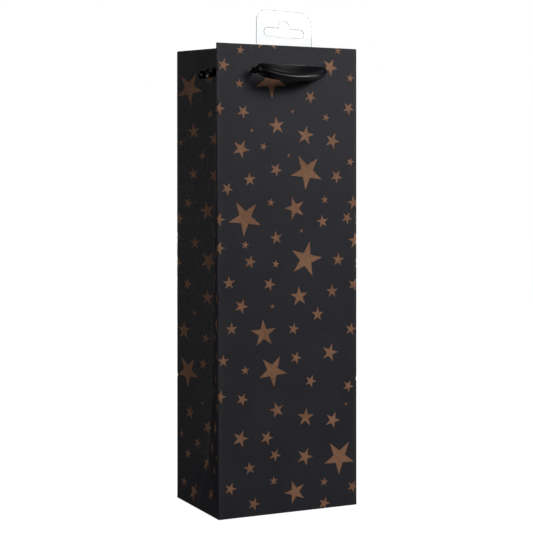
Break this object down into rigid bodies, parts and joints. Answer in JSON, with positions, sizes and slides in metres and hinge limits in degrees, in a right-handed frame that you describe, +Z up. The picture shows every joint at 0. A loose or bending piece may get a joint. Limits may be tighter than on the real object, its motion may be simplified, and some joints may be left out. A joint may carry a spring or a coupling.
{
  "type": "wine gift bag",
  "caption": "Tall folded paper gift bag for a single wine bottle, with satin ribbon handles, a card base and a clear hanging tab.",
  "frame": {"origin": "centre of the base, on the plane that the bag stands on", "axes": "+Z up along the bag, -Y out of the front panel that carries the hanging tab, +X to the right seen from the front"},
  "size_m": [0.12, 0.1164, 0.3865],
  "materials": {
    "printed_paper": "matte",
    "plain_kraft": "matte",
    "board": "matte",
    "satin_ribbon": "satin",
    "clear_plastic": "gloss",
    "adhesive": "satin"
  },
  "bodies": {
    "bag": {"front_panel": "printed_paper", "back_panel": "printed_paper", "left_gusset_front": "printed_paper", "left_gusset_rear": "printed_paper", "right_gusset_front": "printed_paper", "right_gusset_rear": "printed_paper", "front_hem": "printed_paper", "back_hem": "printed_paper", "left_hem_front": "printed_paper", "left_hem_rear": "printed_paper", "right_hem_front": "printed_paper", "right_hem_rear": "printed_paper", "front_card_strip": "board", "back_card_strip": "board", "side_seam_flap": "plain_kraft", "bottom_back_flap": "printed_paper", "bottom_front_flap": "printed_paper", "bottom_left_flap": "printed_paper", "bottom_right_flap": "printed_paper", "base_card": "board", "hang_tab": "clear_plastic", "tab_adhesive": "adhesive", "front_left_ribbon_run": "satin_ribbon", "front_right_ribbon_run": "satin_ribbon", "back_left_ribbon_run": "satin_ribbon", "back_right_ribbon_run": "satin_ribbon", "front_left_knot": "satin_ribbon", "front_right_knot": "satin_ribbon", "back_left_knot": "satin_ribbon", "back_right_knot": "satin_ribbon"},
    "front_ribbon": {"front_handle": "satin_ribbon"},
    "back_ribbon": {"back_handle": "satin_ribbon"}
  },
  "joints": [
    {"name": "front_handle_swing", "type": "hinge", "parent": "bag", "child": "front_ribbon", "pos_m": [0, -0.04217, 0.34], "axis": [-1, 0, 0], "range_deg": [-62, 77]},
    {"name": "back_handle_swing", "type": "hinge", "parent": "bag", "child": "back_ribbon", "pos_m": [0, 0.04217, 0.34], "axis": [1, 0, 0], "range_deg": [-62, 77]}
  ]
}
